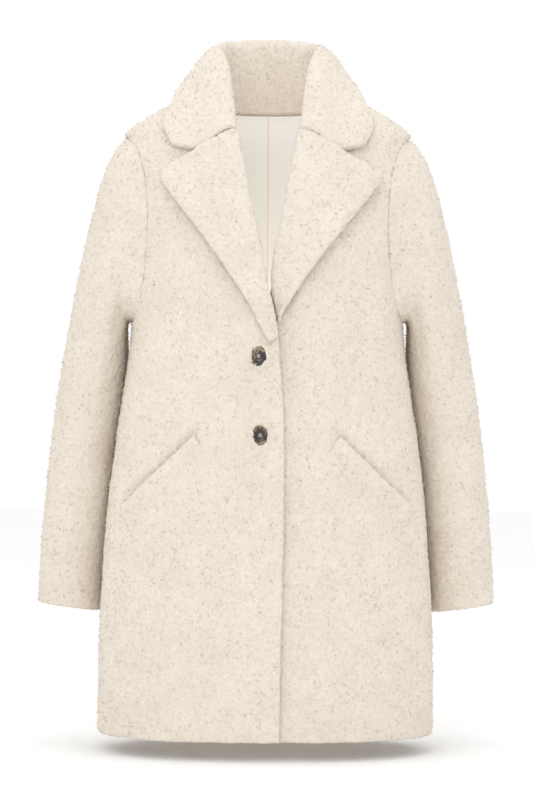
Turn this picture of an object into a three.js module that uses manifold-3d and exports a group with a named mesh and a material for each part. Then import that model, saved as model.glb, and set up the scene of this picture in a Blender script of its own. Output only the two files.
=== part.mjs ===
import * as THREE from "three";
import Module from "manifold-3d";

const wasm = await Module();
wasm.setup();

// Thigh-length teddy coat, hollow, hanging filled out.
// Millimetres; +Z up, front to -Y, +X to the viewer's right.
// The origin is the middle of the neck opening, level with the tops of the shoulders.
const FUR_WALL = 8;
const SEAM_TRIM = 0.2;
const LAID_GAP = 0.35;
const FRONT_SQUARENESS = 2.4;
const BACK_SQUARENESS = 2.1;
const NORMAL_STEP = 0.03;

// Body form: half width, and the depths of front, back and side seam at each height.
const BODY = [
  { z: -776, half: 208, front: -145, back: 119, side: -13 },
  { z: -666, half: 207, front: -144, back: 116, side: -15 },
  { z: -578, half: 202.5, front: -142, back: 112, side: -17 },
  { z: -491, half: 196, front: -140, back: 108, side: -18 },
  { z: -403, half: 185, front: -139, back: 104, side: -18 },
  { z: -323, half: 173, front: -139, back: 103, side: -17 },
  { z: -272, half: 168, front: -138, back: 106, side: -16 },
  { z: -200, half: 170, front: -131, back: 113, side: -12 },
  { z: -130, half: 176, front: -118, back: 116, side: -6 },
  { z: -80, half: 178, front: -103, back: 113, side: -2 },
  { z: -37, half: 178, front: -84, back: 103, side: 2 },
  { z: -16, half: 152, front: -68, back: 92, side: 3 },
  { z: 3, half: 117, front: -50, back: 76, side: 4 },
  { z: 16, half: 70, front: -26, back: 54, side: 4 },
];

// Heights of the cut edges of the panels, from the hem up to the shoulder tip.
const UNDERARM = -272;
const SHOULDER_TIP = -37;
const SKIRT_ROWS = [-776, -738, -700, -658, -615, -570, -525, -480, -435, -392, -352, -318, -292];
const ARMHOLE_ROWS = [-272, -267, -256, -240, -220, -195, -165, -135, -105, -80, -60, -46, -37];

// Half width of the armhole seam on the front and on the back.
const ARMHOLE = [
  { z: -272, front: 168, back: 168 },
  { z: -267, front: 164, back: 164 },
  { z: -256, front: 159.5, back: 160 },
  { z: -240, front: 155, back: 157 },
  { z: -220, front: 151.5, back: 154 },
  { z: -195, front: 149, back: 152 },
  { z: -165, front: 147, back: 151 },
  { z: -135, front: 147, back: 151 },
  { z: -105, front: 149, back: 153 },
  { z: -80, front: 153, back: 157 },
  { z: -60, front: 160, back: 163 },
  { z: -46, front: 168.5, back: 170 },
  { z: -37, front: 178, back: 178 },
];

// Sideways place of the free front edge of each front: over is the one that laps over.
const FRONT_EDGE = [
  { z: -776, over: 16, under: -26 },
  { z: -700, over: 17.5, under: -26 },
  { z: -610, over: 19, under: -26 },
  { z: -520, over: 21, under: -26 },
  { z: -430, over: 21, under: -26 },
  { z: -390, over: 20, under: -26 },
  { z: -350, over: 18, under: -26 },
  { z: -318, over: 15.3, under: -24 },
  { z: -292, over: 12.8, under: -18 },
  { z: -272, over: 9.6, under: -9 },
  { z: -256, over: 5.6, under: -1 },
  { z: -240, over: 1.2, under: 3.2 },
  { z: -220, over: -3, under: 6 },
  { z: -195, over: -7.2, under: 10 },
  { z: -165, over: -13.6, under: 16.5 },
  { z: -135, over: -20.2, under: 23 },
  { z: -105, over: -26.8, under: 29.5 },
  { z: -80, over: -32.8, under: 35.5 },
  { z: -60, over: -41, under: 43.5 },
  { z: -46, over: -50, under: 52 },
  { z: -37, over: -55, under: 55 },
];

// The under front sinks behind the over front where the two overlap.
const LAP_SINK = FUR_WALL + 0.6;
const LAP_BLEND = 36;
const LAP_CLEAR = 6;
const LAP_START = -150;
const LAP_FULL = -200;

// Neck seam: where the shoulder seams end, and the low points front and back.
const NECK_POINT_Z = 14;
const BACK_NECK_Z = 5;
const FRONT_NECK = { half: 55, z: -37 };
const SHOULDER_COLUMNS = 6;
const NECK_COLUMNS = 8;
const YOKE_ROWS = 5;

// Smooth value of one column of a table at a place between its rows.
function read(table, key, at, column) {
  const rising = table[table.length - 1][key] > table[0][key];
  let index = 0;
  while (index < table.length - 2 && (rising ? at > table[index + 1][key] : at < table[index + 1][key])) {
    index += 1;
  }
  const slope = (left, right) => (right[column] - left[column]) / (right[key] - left[key]);
  const a = table[index];
  const b = table[index + 1];
  const span = b[key] - a[key];
  const middle = slope(a, b);
  const before = index > 0 ? slope(table[index - 1], a) : middle;
  const after = index < table.length - 2 ? slope(b, table[index + 2]) : middle;
  const limited = (one, two) => (one * two <= 0 ? 0 : (2 * one * two) / (one + two));
  const start = index > 0 ? limited(before, middle) : middle;
  const end = index < table.length - 2 ? limited(middle, after) : middle;
  const t = Math.min(Math.max((at - a[key]) / span, 0), 1);
  const t2 = t * t;
  const t3 = t2 * t;
  return (
    (2 * t3 - 3 * t2 + 1) * a[column] +
    (t3 - 2 * t2 + t) * span * start +
    (-2 * t3 + 3 * t2) * b[column] +
    (t3 - t2) * span * end
  );
}

const mix = (a, b, t) => a + (b - a) * t;
const ease = (t) => {
  const held = Math.min(Math.max(t, 0), 1);
  return held * held * (3 - 2 * held);
};
const signedPower = (value, power) => Math.sign(value) * Math.abs(value) ** power;

// A point of the body form: turn 0 is the viewer's right side, -90 degrees the front middle.
function bodyPoint(turn, z) {
  const half = read(BODY, "z", z, "half");
  const side = read(BODY, "z", z, "side");
  const sine = Math.sin(turn);
  const faced = sine < 0 ? read(BODY, "z", z, "front") : read(BODY, "z", z, "back");
  const power = 2 / (sine < 0 ? FRONT_SQUARENESS : BACK_SQUARENESS);
  const depth = Math.abs(faced - side) * signedPower(sine, power);
  return new THREE.Vector3(half * signedPower(Math.cos(turn), power), side + depth, z);
}

function bodyNormal(turn, z) {
  const across = bodyPoint(turn + NORMAL_STEP, z).sub(bodyPoint(turn - NORMAL_STEP, z));
  const along = bodyPoint(turn, z + 2).sub(bodyPoint(turn, z - 2));
  return across.cross(along).normalize();
}

// The same point moved out of the cloth by so much, or into it when out is less than nothing.
function clothPoint(turn, z, out) {
  return bodyPoint(turn, z).addScaledVector(bodyNormal(turn, z), out);
}

// Turn at which the front or back of the form is so far sideways.
function turnAt(x, z, facing) {
  const half = read(BODY, "z", z, "half");
  const squareness = facing < 0 ? FRONT_SQUARENESS : BACK_SQUARENESS;
  const ratio = Math.min(Math.max(x / half, -1), 1);
  return facing * Math.acos(signedPower(ratio, squareness / 2));
}

// A sheet of cloth from two grids of the same size, closed all round its edges.
function sheet(outer, inner, wraps = false) {
  const rows = outer.length;
  const columns = outer[0].length;
  const positions = [];
  const place = (p) => positions.push(p.x, p.y, p.z);
  const triangle = (a, b, c) => {
    const apart = (p, q) => p.distanceToSquared(q) > 1e-8;
    if (apart(a, b) && apart(b, c) && apart(c, a)) {
      place(a);
      place(b);
      place(c);
    }
  };
  const quad = (a, b, c, d) => {
    if (a.distanceToSquared(c) <= b.distanceToSquared(d)) {
      triangle(a, b, c);
      triangle(a, c, d);
    } else {
      triangle(a, b, d);
      triangle(b, c, d);
    }
  };
  const last = wraps ? columns : columns - 1;
  for (let i = 0; i < rows - 1; i += 1) {
    for (let j = 0; j < last; j += 1) {
      const k = (j + 1) % columns;
      quad(outer[i][j], outer[i][k], outer[i + 1][k], outer[i + 1][j]);
      quad(inner[i][k], inner[i][j], inner[i + 1][j], inner[i + 1][k]);
    }
    if (!wraps) {
      quad(outer[i + 1][0], inner[i + 1][0], inner[i][0], outer[i][0]);
      const e = columns - 1;
      quad(outer[i][e], inner[i][e], inner[i + 1][e], outer[i + 1][e]);
    }
  }
  const top = rows - 1;
  for (let j = 0; j < last; j += 1) {
    const k = (j + 1) % columns;
    quad(inner[0][j], inner[0][k], outer[0][k], outer[0][j]);
    quad(outer[top][j], outer[top][k], inner[top][k], inner[top][j]);
  }
  const geometry = new THREE.BufferGeometry();
  geometry.setAttribute("position", new THREE.Float32BufferAttribute(positions, 3));
  return facingOut(geometry);
}

function facingOut(geometry) {
  const p = geometry.getAttribute("position");
  const corner = (i) => new THREE.Vector3().fromBufferAttribute(p, i);
  let volume = 0;
  for (let i = 0; i < p.count; i += 3) {
    volume += corner(i).dot(corner(i + 1).cross(corner(i + 2)));
  }
  if (volume < 0) {
    for (let i = 0; i < p.count; i += 3) {
      const b = corner(i + 1);
      const c = corner(i + 2);
      p.setXYZ(i + 1, c.x, c.y, c.z);
      p.setXYZ(i + 2, b.x, b.y, b.z);
    }
  }
  geometry.computeVertexNormals();
  return geometry;
}

// Pulls the edge rows and columns of a grid back from its seams, square to the seam.
function trimmed(grid, edges, distance = SEAM_TRIM) {
  const copy = grid.map((row) => row.map((p) => p.clone()));
  const top = grid.length - 1;
  const end = grid[0].length - 1;
  const held = (index, limit) => Math.min(Math.max(index, 0), limit);
  const pull = (i, j, inside, before, after) => {
    const way = inside.clone().sub(grid[i][j]);
    const seam = after.clone().sub(before).normalize();
    const square = way.clone().addScaledVector(seam, -way.dot(seam));
    if (square.length() > 1e-3) copy[i][j].addScaledVector(square.normalize(), distance);
  };
  const column = (j, next) =>
    grid.forEach((row, i) => pull(i, j, row[next], grid[held(i - 1, top)][j], grid[held(i + 1, top)][j]));
  const line = (i, next) =>
    grid[i].forEach((p, j) => pull(i, j, grid[next][j], grid[i][held(j - 1, end)], grid[i][held(j + 1, end)]));
  if (edges.includes("first")) column(0, 1);
  if (edges.includes("last")) column(end, end - 1);
  if (edges.includes("bottom")) line(0, 1);
  if (edges.includes("top")) line(top, top - 1);
  return copy;
}

const flipX = (p) => new THREE.Vector3(-p.x, p.y, p.z);

// Columns of a panel: the first ones end on the shoulder seam, the others on the neck seam.
const SHOULDER_SHARE = 0.62;
const PANEL_COLUMNS = SHOULDER_COLUMNS + NECK_COLUMNS;

function columnShare(column) {
  if (column <= SHOULDER_COLUMNS) return (SHOULDER_SHARE * column) / SHOULDER_COLUMNS;
  return SHOULDER_SHARE + ((1 - SHOULDER_SHARE) * (column - SHOULDER_COLUMNS)) / NECK_COLUMNS;
}

// Half of the neck seam as places on the body form, from the shoulder seam to the middle.
function neckPlace(share, facing) {
  if (facing > 0) {
    const turn = (share * Math.PI) / 2;
    return { turn, z: mix(NECK_POINT_Z, BACK_NECK_Z, Math.sin(turn)) };
  }
  const z = mix(NECK_POINT_Z, FRONT_NECK.z, share ** 1.6);
  const x = mix(read(BODY, "z", NECK_POINT_Z, "half"), FRONT_NECK.half, share);
  return { turn: share === 0 ? 0 : turnAt(x, z, -1), z };
}

// Rows of a half panel as places on the form, from the side inwards, for the viewer's right side.
function halfPanelPlaces(facing, edgeX) {
  const column = facing < 0 ? "front" : "back";
  const rows = [];
  const addRow = (startTurn, z) => {
    const endTurn = edgeX ? turnAt(edgeX(z), z, -1) : Math.PI / 2;
    const row = [];
    for (let j = 0; j <= PANEL_COLUMNS; j += 1) {
      row.push({ turn: mix(startTurn, endTurn, columnShare(j)), z });
    }
    rows.push(row);
  };
  SKIRT_ROWS.forEach((z) => addRow(0, z));
  ARMHOLE_ROWS.forEach((z) => {
    const x = read(ARMHOLE, "z", z, column);
    const onSeam = z === UNDERARM || z === SHOULDER_TIP;
    addRow(onSeam ? 0 : turnAt(x, z, facing), z);
  });
  const lower = rows[rows.length - 1];
  for (let i = 1; i <= YOKE_ROWS; i += 1) {
    const rise = i / YOKE_ROWS;
    rows.push(
      lower.map((place, j) => {
        const onShoulder = j <= SHOULDER_COLUMNS;
        const upper = onShoulder
          ? { turn: 0, z: mix(SHOULDER_TIP, NECK_POINT_Z, j / SHOULDER_COLUMNS) }
          : neckPlace((j - SHOULDER_COLUMNS) / NECK_COLUMNS, facing);
        return { turn: mix(place.turn, upper.turn, rise), z: mix(place.z, upper.z, rise) };
      }),
    );
  }
  return rows;
}

// How far the under front lies behind the over front at one place.
function sinkAt(x, z) {
  const edge = read(FRONT_EDGE, "z", z, "over") + LAP_CLEAR;
  const across = ease((edge + LAP_BLEND - x) / LAP_BLEND);
  return LAP_SINK * across * ease((LAP_START - z) / (LAP_START - LAP_FULL));
}

// Front of one side of the coat: side -1 is the over front, +1 the under front.
function frontPanel(side) {
  const edge = side < 0 ? "over" : "under";
  const places = halfPanelPlaces(-1, (z) => side * read(FRONT_EDGE, "z", z, edge));
  const at = (place, depth) => {
    const turn = side < 0 ? -Math.PI - place.turn : place.turn;
    const sink = side < 0 ? 0 : sinkAt(bodyPoint(turn, place.z).x, place.z);
    return clothPoint(turn, place.z, -depth - sink);
  };
  const seams = ["first", "top"];
  const outer = trimmed(places.map((row) => row.map((place) => at(place, 0))), seams);
  const inner = trimmed(places.map((row) => row.map((place) => at(place, FUR_WALL))), seams);
  return { outer, inner };
}

function backPanel() {
  const places = halfPanelPlaces(1, null);
  const whole = (depth) =>
    places.map((row) => {
      const right = row.map((place) => clothPoint(place.turn, place.z, -depth));
      const left = row.slice(0, -1).reverse();
      return right.concat(left.map((place) => flipX(clothPoint(place.turn, place.z, -depth))));
    });
  const seams = ["first", "last", "top"];
  return { outer: trimmed(whole(0), seams), inner: trimmed(whole(FUR_WALL), seams) };
}

// Sleeve rings: outermost and innermost points, middle and half depth front to back,
// and how much of the armhole's own shape is left in the ring.
const SLEEVE = [
  { outX: 178, outZ: -37, inX: 168, inZ: -272, mid: -5, deep: 68, armhole: 1 },
  { outX: 188.5, outZ: -46, inX: 173, inZ: -269.5, mid: -2.5, deep: 70, armhole: 0.72 },
  { outX: 199, outZ: -65, inX: 175.5, inZ: -271.5, mid: -1, deep: 74, armhole: 0.46 },
  { outX: 207.5, outZ: -89, inX: 176, inZ: -276.5, mid: 2, deep: 76, armhole: 0.26 },
  { outX: 215, outZ: -117, inX: 176, inZ: -283, mid: 5, deep: 77, armhole: 0.12 },
  { outX: 222, outZ: -147, inX: 175.5, inZ: -291.5, mid: 9, deep: 77, armhole: 0.04 },
  { outX: 229.5, outZ: -178, inX: 174.5, inZ: -302, mid: 13, deep: 76, armhole: 0 },
  { outX: 237, outZ: -212, inX: 174, inZ: -313, mid: 18, deep: 75, armhole: 0 },
  { outX: 244, outZ: -246, inX: 173.8, inZ: -327, mid: 23, deep: 74, armhole: 0 },
  { outX: 250.5, outZ: -282, inX: 174.5, inZ: -345, mid: 28, deep: 72.5, armhole: 0 },
  { outX: 257, outZ: -318, inX: 176.5, inZ: -367, mid: 32, deep: 71, armhole: 0 },
  { outX: 263, outZ: -353, inX: 179.5, inZ: -391, mid: 35, deep: 69, armhole: 0 },
  { outX: 268, outZ: -388, inX: 183, inZ: -417, mid: 37, deep: 67.5, armhole: 0 },
  { outX: 272.5, outZ: -424, inX: 186, inZ: -445, mid: 38, deep: 66, armhole: 0 },
  { outX: 276.5, outZ: -461, inX: 189.5, inZ: -476, mid: 39, deep: 64.5, armhole: 0 },
  { outX: 280, outZ: -500, inX: 193, inZ: -512, mid: 39, deep: 63, armhole: 0 },
  { outX: 283.5, outZ: -539, inX: 196.5, inZ: -550, mid: 38, deep: 61, armhole: 0 },
  { outX: 286.5, outZ: -580, inX: 200, inZ: -590, mid: 37, deep: 59.5, armhole: 0 },
  { outX: 287.5, outZ: -619, inX: 203, inZ: -630, mid: 36, deep: 58, armhole: 0 },
];
const SLEEVE_SQUARENESS = 2.15;
const SLEEVE_TRIM = 0.4;

// Points round a sleeve: down the front of the armhole from the shoulder and up its back.
const ROUND_SLEEVE = [
  ...ARMHOLE_ROWS.slice().reverse().map((z) => ({ z, facing: -1 })),
  ...ARMHOLE_ROWS.slice(1, -1).map((z) => ({ z, facing: 1 })),
];

function armholePoint(place, depth) {
  const column = place.facing < 0 ? "front" : "back";
  const onSeam = place.z === UNDERARM || place.z === SHOULDER_TIP;
  const x = read(ARMHOLE, "z", place.z, column);
  return clothPoint(onSeam ? 0 : turnAt(x, place.z, place.facing), place.z, -depth);
}

function sleeveRing(row) {
  return ROUND_SLEEVE.map(({ z, facing }) => {
    const cosine = (2 * (z - UNDERARM)) / (SHOULDER_TIP - UNDERARM) - 1;
    const round = Math.acos(Math.min(Math.max(cosine, -1), 1));
    const power = 2 / SLEEVE_SQUARENESS;
    const up = (1 + signedPower(Math.cos(round), power)) / 2;
    const y = row.mid + facing * row.deep * signedPower(Math.sin(round), power);
    return new THREE.Vector3(mix(row.inX, row.outX, up), y, mix(row.inZ, row.outZ, up));
  });
}

function sleeve() {
  const start = sleeveRing(SLEEVE[0]);
  const outer = SLEEVE.map((row) =>
    sleeveRing(row).map((p, m) => {
      const seam = armholePoint(ROUND_SLEEVE[m], 0);
      return p.addScaledVector(seam.sub(start[m]), row.armhole);
    }),
  );
  const count = ROUND_SLEEVE.length;
  const inner = outer.map((ring, i) => {
    const centre = ring.reduce((sum, p) => sum.add(p), new THREE.Vector3()).divideScalar(count);
    return ring.map((p, m) => {
      const previous = outer[Math.max(i - 1, 0)][m];
      const next = outer[Math.min(i + 1, outer.length - 1)][m];
      const round = ring[(m + 1) % count].clone().sub(ring[(m + count - 1) % count]);
      const normal = next.clone().sub(previous).cross(round).normalize();
      if (normal.dot(centre.clone().sub(p)) < 0) normal.negate();
      return i === 0 ? armholePoint(ROUND_SLEEVE[m], FUR_WALL) : p.clone().addScaledVector(normal, FUR_WALL);
    });
  });
  return { outer: trimmed(outer, ["bottom"], SLEEVE_TRIM), inner: trimmed(inner, ["bottom"], SLEEVE_TRIM) };
}

// Collar stations from the middle of the back (0) to the front end of the neck seam (1):
// the roll, the middle of the fall, and the outer edge as a place on the body form.
const COLLAR = [
  { along: 0, rollX: 0, rollY: 77, rollZ: 89, fallX: 0, fallY: 108, fallZ: 36, edgeTurn: 90, edgeZ: -20 },
  { along: 0.25, rollX: 43, rollY: 66, rollZ: 85.5, fallX: 68, fallY: 87, fallZ: 34, edgeTurn: 58, edgeZ: -18 },
  { along: 0.5, rollX: 63, rollY: 18, rollZ: 73, fallX: 94, fallY: 16, fallZ: 43, edgeTurn: 2, edgeZ: 6 },
  { along: 0.625, rollX: 61, rollY: -14, rollZ: 64, fallX: 93, fallY: -22, fallZ: 30, edgeTurn: -30, edgeZ: -2 },
  { along: 0.75, rollX: 54.5, rollY: -42, rollZ: 48, fallX: 84, fallY: -58, fallZ: 2, edgeTurn: -41, edgeZ: -16 },
  { along: 0.875, rollX: 48, rollY: -69, rollZ: 6, fallX: 79, fallY: -85, fallZ: -31, edgeTurn: -48.5, edgeZ: -36 },
  { along: 1, rollX: 43, rollY: -96, rollZ: -36.5, fallX: 84, fallY: -98, fallZ: -60.5, edgeTurn: -54, edgeZ: -58 },
];
// The station beyond the middle of the back, so that the collar runs smoothly across it.
const COLLAR_ROUND = [
  {
    ...COLLAR[1],
    along: -COLLAR[1].along,
    rollX: -COLLAR[1].rollX,
    fallX: -COLLAR[1].fallX,
    edgeTurn: 180 - COLLAR[1].edgeTurn,
  },
  ...COLLAR,
];
const COLLAR_WALL = 10;
const COLLAR_LIFT = 7.5;
const FOLD_HALF = 6.5;
const FOLD_DROP = 7;
// Rows of the collar from the neck seam over the roll to the outer edge.
const COLLAR_ROWS = [0, 0.34, 0.7, 1, 1.5, 2, 2.5, 3, 3.35, 3.7, 4, 4.35, 4.7, 4.92, 5];
const COLLAR_THINNING = [
  { row: 0, share: 0.8 },
  { row: 0.34, share: 0.74 },
  { row: 0.7, share: 0.78 },
  { row: 1.5, share: 1 },
  { row: 4.7, share: 1 },
  { row: 4.92, share: 0.82 },
  { row: 5, share: 0.4 },
];

function neckSeam(depth) {
  const front = [];
  const back = [];
  for (let i = NECK_COLUMNS; i >= 0; i -= 1) {
    const place = neckPlace(i / NECK_COLUMNS, -1);
    front.push(clothPoint(place.turn, place.z, -depth));
  }
  for (let i = 1; i <= NECK_COLUMNS; i += 1) {
    const place = neckPlace(i / NECK_COLUMNS, 1);
    back.push(clothPoint(place.turn, place.z, -depth));
  }
  const right = front.concat(back);
  return right.concat(right.slice(0, -1).reverse().map(flipX));
}

function collarRoll(along, hand) {
  const point = (name) => read(COLLAR_ROUND, "along", along, name);
  return new THREE.Vector3(hand * point("rollX"), point("rollY"), point("rollZ"));
}

function collarPath(along, hand, seat) {
  const point = (name) => read(COLLAR_ROUND, "along", along, name);
  const roll = collarRoll(along, hand);
  const fall = new THREE.Vector3(hand * point("fallX"), point("fallY"), point("fallZ"));
  const edge = clothPoint((point("edgeTurn") * Math.PI) / 180, point("edgeZ"), COLLAR_LIFT);
  edge.x *= hand;
  const step = 0.04;
  const tangent = collarRoll(Math.min(along + step, 1), hand)
    .sub(along < step ? collarRoll(step - along, -hand) : collarRoll(along - step, hand))
    .normalize();
  const leg = (to) => {
    const way = to.clone().sub(roll);
    return way.addScaledVector(tangent, -way.dot(tangent)).normalize();
  };
  const outward = leg(fall);
  const inward = leg(seat);
  const up = outward.clone().add(inward).normalize().negate();
  const across = outward.clone().sub(inward).normalize();
  const shoulder = (way) =>
    roll.clone().addScaledVector(across, way * FOLD_HALF).addScaledVector(up, -FOLD_DROP);
  return new THREE.CatmullRomCurve3([seat, shoulder(-1), roll, shoulder(1), fall, edge], false, "centripetal");
}

function collar() {
  const outside = neckSeam(0);
  const inside = neckSeam(FUR_WALL);
  const middle = (outside.length - 1) / 2;
  const centre = outside.map((p, j) => {
    const hand = j <= middle ? 1 : -1;
    const along = Math.abs(j - middle) / middle;
    const seat = p.clone().add(inside[j]).multiplyScalar(0.5);
    const path = collarPath(along, hand, seat);
    return COLLAR_ROWS.map((row) => path.getPoint(row / COLLAR_ROWS[COLLAR_ROWS.length - 1]));
  });
  const outer = [];
  const inner = [];
  COLLAR_ROWS.forEach((row, i) => {
    const thick = (COLLAR_WALL / 2) * read(COLLAR_THINNING, "row", row, "share");
    outer.push([]);
    inner.push([]);
    centre.forEach((line, j) => {
      const before = centre[Math.max(j - 1, 0)][i];
      const after = centre[Math.min(j + 1, centre.length - 1)][i];
      const below = line[Math.max(i - 1, 0)];
      const above = line[Math.min(i + 1, line.length - 1)];
      const normal = above.clone().sub(below).cross(after.clone().sub(before)).normalize();
      outer[i].push(i === 0 ? inside[j] : line[i].clone().addScaledVector(normal, thick));
      inner[i].push(i === 0 ? outside[j] : line[i].clone().addScaledVector(normal, -thick));
    });
  });
  return { outer: trimmed(outer, ["bottom"]), inner: trimmed(inner, ["bottom"]) };
}

// Lapels: the roll line and the outer edge, sideways and up, from the gorge down to the break.
const OVER_LAPEL = [
  { rollX: -37, rollZ: -44.5, tipX: -126, tipZ: -93 },
  { rollX: -35, rollZ: -53, tipX: -121.5, tipZ: -107 },
  { rollX: -32.3, rollZ: -69, tipX: -109, tipZ: -124 },
  { rollX: -27.5, rollZ: -92, tipX: -93, tipZ: -145.5 },
  { rollX: -23, rollZ: -116, tipX: -76.5, tipZ: -168 },
  { rollX: -17.5, rollZ: -141, tipX: -61.5, tipZ: -189 },
  { rollX: -11.5, rollZ: -169, tipX: -49, tipZ: -208 },
  { rollX: -5.3, rollZ: -197, tipX: -37.5, tipZ: -227 },
  { rollX: -1.2, rollZ: -223, tipX: -24, tipZ: -245 },
  { rollX: 4.6, rollZ: -247, tipX: -14, tipZ: -264 },
  { rollX: 10, rollZ: -270, tipX: -6.5, tipZ: -281 },
  { rollX: 12.6, rollZ: -290, tipX: 2, tipZ: -298 },
];
const UNDER_LAPEL = [
  { rollX: 37, rollZ: -44.5, tipX: 134, tipZ: -95 },
  { rollX: 34.5, rollZ: -53, tipX: 128, tipZ: -109 },
  { rollX: 31.8, rollZ: -69, tipX: 115, tipZ: -125 },
  { rollX: 27, rollZ: -92, tipX: 101.5, tipZ: -142 },
  { rollX: 22.3, rollZ: -115, tipX: 87.5, tipZ: -160 },
  { rollX: 17.2, rollZ: -142, tipX: 72.5, tipZ: -179 },
  { rollX: 12.3, rollZ: -168, tipX: 60, tipZ: -197 },
  { rollX: 6.6, rollZ: -196, tipX: 46.5, tipZ: -217 },
  { rollX: 3.4, rollZ: -222, tipX: 32, tipZ: -238 },
  { rollX: 7.4, rollZ: -246, tipX: 20.5, tipZ: -257 },
  { rollX: 12.5, rollZ: -268, tipX: 14.2, tipZ: -272 },
];
// Columns across a lapel, with its thickness and its top edge as shares of the way to the tip.
const LAPEL_COLUMNS = [
  { across: 0, thick: 0.42, topX: 0, topZ: 0 },
  { across: 0.04, thick: 0.8, topX: 0.045, topZ: 0.015 },
  { across: 0.12, thick: 1, topX: 0.13, topZ: 0.07 },
  { across: 0.3, thick: 1, topX: 0.32, topZ: 0.3 },
  { across: 0.5, thick: 1, topX: 0.53, topZ: 0.47 },
  { across: 0.68, thick: 1, topX: 0.73, topZ: 0.61 },
  { across: 0.84, thick: 1, topX: 0.89, topZ: 0.77 },
  { across: 0.95, thick: 0.82, topX: 0.98, topZ: 0.91 },
  { across: 1, thick: 0.42, topX: 1, topZ: 1 },
];
const LAPEL_WALL = 12;
const LAPEL_LIFT = 4;
const LAPEL_SINK = 0.66;
// A lapel thins over its last rows, down to this share of its thickness at the break.
const LAPEL_BREAK_ROWS = 3;
const LAPEL_BREAK_SHARE = 0.3;

function lapel(table) {
  const last = table.length - 1;
  const side = Math.sign(table[0].rollX);
  const surface = (share) =>
    table.map((row, i) => {
      const fade = (1 - i / last) ** 3;
      const thickness = LAPEL_WALL * mix(LAPEL_BREAK_SHARE, 1, ease((last - i) / LAPEL_BREAK_ROWS));
      return LAPEL_COLUMNS.map((column) => {
        const shareX = mix(column.across, column.topX, fade);
        const shareZ = mix(column.across, column.topZ, fade);
        const x = mix(row.rollX, row.tipX, shareX);
        const z = mix(row.rollZ, row.tipZ, shareZ);
        const sink = side < 0 ? 0 : sinkAt(x, z);
        const lift = LAPEL_LIFT * column.across ** 2 * (1 - 0.6 * (i / last));
        const out = LAID_GAP - sink * LAPEL_SINK + lift + (thickness / 2) * (1 + share * column.thick);
        return clothPoint(turnAt(x, z, -1), z, out);
      });
    });
  return { outer: surface(1), inner: surface(-1) };
}

// Slanted pocket welts, as corners sideways and up on the viewer's right front.
const WELT = {
  mouthInX: 87,
  mouthInZ: -409,
  mouthOutX: 175,
  mouthOutZ: -494.5,
  footInX: 72,
  footInZ: -432.5,
  footOutX: 165,
  footOutZ: -528,
};
const WELT_LENGTHWISE = 12;
const WELT_CROSSWISE = [
  { across: 0, thick: 2 },
  { across: 0.08, thick: 4.4 },
  { across: 0.3, thick: 4.6 },
  { across: 0.7, thick: 3.4 },
  { across: 1, thick: 1.6 },
];

function pocketWelt(side) {
  const surface = (share) =>
    WELT_CROSSWISE.map((column) => {
      const row = [];
      for (let i = 0; i <= WELT_LENGTHWISE; i += 1) {
        const along = i / WELT_LENGTHWISE;
        const mouthX = mix(WELT.mouthInX, WELT.mouthOutX, along);
        const mouthZ = mix(WELT.mouthInZ, WELT.mouthOutZ, along);
        const x = mix(mouthX, mix(WELT.footInX, WELT.footOutX, along), column.across);
        const z = mix(mouthZ, mix(WELT.footInZ, WELT.footOutZ, along), column.across);
        row.push(clothPoint(turnAt(side * x, z, -1), z, LAID_GAP + share * column.thick));
      }
      return row;
    });
  return { outer: surface(1), inner: surface(0) };
}

// Lining of the back, as seen in the neck opening: a thin wall just inside the back.
const LINING_WALL = 1.2;
const LINING_GAP = 0.8;
const LINING_HEM = -752;
const LINING_FULL_ROWS = 7;
const LINING_TRIM = 2;

function backLining() {
  const inset = FUR_WALL + LINING_GAP;
  const places = halfPanelPlaces(1, null).filter((row, i) => i % 2 === 1 || i > LINING_FULL_ROWS);
  const whole = (depth) =>
    places.map((row, i) => {
      const used = row.filter((place, j) => j % 2 === 0).map((place) => ({
        turn: place.turn,
        z: i === 0 ? LINING_HEM : place.z,
      }));
      const right = used.map((place) => clothPoint(place.turn, place.z, -depth));
      const left = used.slice(0, -1).reverse();
      return right.concat(left.map((place) => flipX(clothPoint(place.turn, place.z, -depth))));
    });
  const seams = ["first", "last", "top"];
  const cut = (depth) => trimmed(whole(depth), seams, LINING_TRIM);
  return { outer: cut(inset), inner: cut(inset + LINING_WALL) };
}

// Buttons: a dished disc with a raised rim and four sewing holes, turned about its own axis.
const BUTTON_PROFILE = [
  { radius: 0, height: 0 },
  { radius: 9, height: 0 },
  { radius: 11.6, height: 1.3 },
  { radius: 12.5, height: 3 },
  { radius: 12, height: 4.6 },
  { radius: 10.6, height: 5.2 },
  { radius: 9.2, height: 4.7 },
  { radius: 7.6, height: 3.4 },
  { radius: 4, height: 2.7 },
  { radius: 0, height: 2.6 },
];
const BUTTON_SIDES = 32;
const HOLE_RADIUS = 1.1;
const HOLE_OFFSET = 2;
const BUTTONS = { button_upper: { x: -10.3, z: -313.5 }, button_lower: { x: -7.8, z: -408.4 } };

function toManifold(geometry) {
  const flat = geometry.index ? geometry.toNonIndexed() : geometry;
  const source = flat.getAttribute("position");
  const found = new Map();
  const vertices = [];
  const triangles = [];
  for (let i = 0; i < source.count; i += 3) {
    const corners = [0, 1, 2].map((k) => {
      const p = [source.getX(i + k), source.getY(i + k), source.getZ(i + k)];
      const key = p.map((value) => Math.round(value * 1e4)).join(",");
      if (!found.has(key)) {
        found.set(key, vertices.length / 3);
        vertices.push(...p);
      }
      return found.get(key);
    });
    if (new Set(corners).size === 3) triangles.push(...corners);
  }
  const mesh = new wasm.Mesh({
    numProp: 3,
    vertProperties: new Float32Array(vertices),
    triVerts: new Uint32Array(triangles),
  });
  const solid = new wasm.Manifold(mesh);
  return solid;
}

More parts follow.
